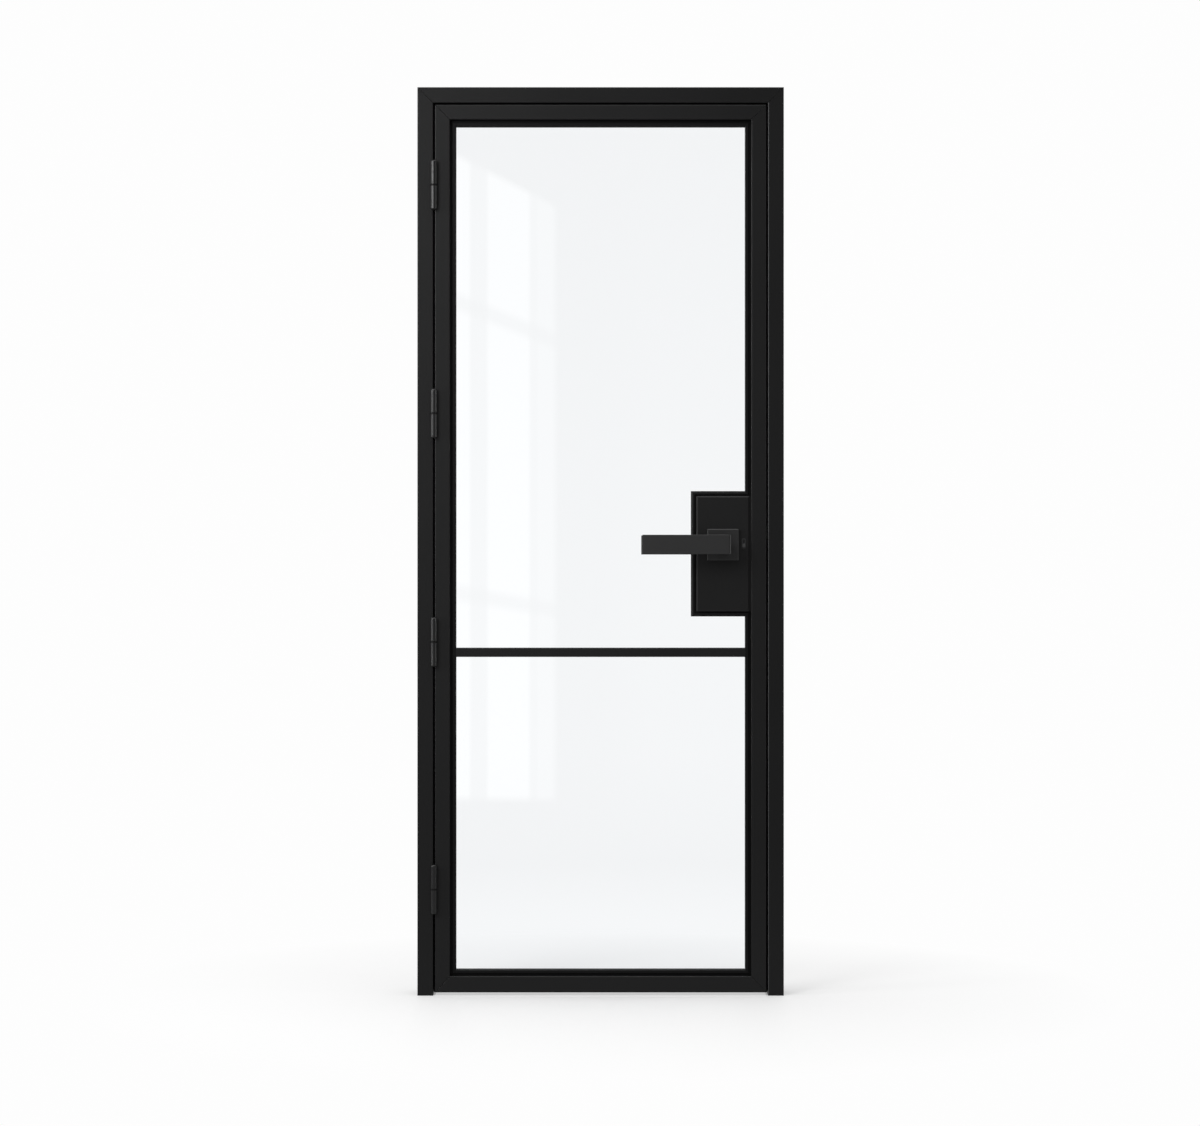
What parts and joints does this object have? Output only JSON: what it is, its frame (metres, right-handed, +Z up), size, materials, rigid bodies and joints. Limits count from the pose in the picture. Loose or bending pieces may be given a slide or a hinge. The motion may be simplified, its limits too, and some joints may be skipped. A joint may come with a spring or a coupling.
{
  "type": "glass door",
  "caption": "Black steel-framed glass door in its three-sided frame, with a glazing bar, a lock box with levers, lift-off hinges and a sprung latch.",
  "frame": {"origin": "on the floor, midway across the frame, on the middle plane of the closed leaf", "axes": "+X to the right as seen from the side the door opens towards, +Y away through the doorway, +Z up"},
  "size_m": [0.835, 0.168, 2.07],
  "materials": {
    "frame_coat": "satin black powder coat",
    "leaf_coat": "satin black powder coat",
    "lock_coat": "satin black powder coat",
    "hinge_metal": "satin black",
    "rose_metal": "satin black",
    "lever_metal": "satin black anodised",
    "blackened_steel": "blackened, oiled",
    "plated_steel": "zinc plated",
    "spring_steel": "drawn wire",
    "seal_rubber": "matt black",
    "glass": "clear float, polished"
  },
  "bodies": {
    "frame": {"hinge_jamb": "frame_coat", "strike_jamb": "frame_coat", "frame_head": "frame_coat", "weather_seal": "seal_rubber", "strike_plate": "blackened_steel", "strike_box": "plated_steel", "strike_screws": "blackened_steel", "hinge_1_frame_half": "hinge_metal", "hinge_2_frame_half": "hinge_metal", "hinge_3_frame_half": "hinge_metal", "hinge_4_frame_half": "hinge_metal", "hinge_pins": "plated_steel", "hinge_washers": "blackened_steel", "hinge_frame_screws": "plated_steel"},
    "leaf": {"hinge_1_leaf_half": "hinge_metal", "hinge_2_leaf_half": "hinge_metal", "hinge_3_leaf_half": "hinge_metal", "hinge_4_leaf_half": "hinge_metal", "hinge_leaf_screws": "plated_steel", "hinge_stile": "leaf_coat", "lock_stile": "leaf_coat", "top_rail": "leaf_coat", "bottom_rail": "leaf_coat", "glazing_bar": "leaf_coat", "glazing_bar_cap": "leaf_coat", "upper_glass": "glass", "lower_glass": "glass", "upper_gasket": "seal_rubber", "lower_gasket": "seal_rubber", "bead_hinge_side": "leaf_coat", "bead_top": "leaf_coat", "bead_bottom": "leaf_coat", "bead_above_lock": "leaf_coat", "bead_below_lock": "leaf_coat", "box_bead_side": "leaf_coat", "box_bead_top": "leaf_coat", "box_bead_bottom": "leaf_coat", "glazing_screws": "blackened_steel", "lock_box": "lock_coat", "lock_cover_front": "lock_coat", "lock_cover_rear": "lock_coat", "latch_case": "plated_steel", "latch_faceplate": "blackened_steel", "faceplate_screws": "blackened_steel", "latch_spring": "spring_steel", "rose_base_front": "plated_steel", "rose_base_rear": "plated_steel", "rose_cover_front": "rose_metal", "rose_cover_rear": "rose_metal", "through_bolts": "plated_steel", "snib_plate": "rose_metal"},
    "levers": {"lever_front": "lever_metal", "lever_rear": "lever_metal", "spindle": "plated_steel", "lever_set_screws": "plated_steel", "latch_follower": "plated_steel"},
    "latch": {"latch_bolt": "blackened_steel"},
    "snib": {"snib_slider": "plated_steel"}
  },
  "joints": [
    {"name": "door_swing", "type": "hinge", "parent": "frame", "child": "leaf", "pos_m": [-0.3795, -0.029, 1], "axis": [0, 0, -1], "range_deg": [0, 170]},
    {"name": "lever_turn", "type": "hinge", "parent": "leaf", "child": "levers", "pos_m": [0.2785, 0, 1.0274], "axis": [0, -1, 0], "range_deg": [0, 45], "stiffness_Nm_per_rad": 1.5, "springref_deg": -57.3},
    {"name": "latch_slide", "type": "slide", "parent": "leaf", "child": "latch", "axis": [-1, 0, 0], "range_m": [0, 0.0125], "deforming": ["latch_spring"]},
    {"name": "snib_slide", "type": "slide", "parent": "leaf", "child": "snib", "axis": [0, 0, 1], "range_m": [0, 0.008]}
  ],
  "couplings": [
    {"joint": "latch_slide", "follows": "lever_turn", "m_per_rad": 0.0159}
  ]
}
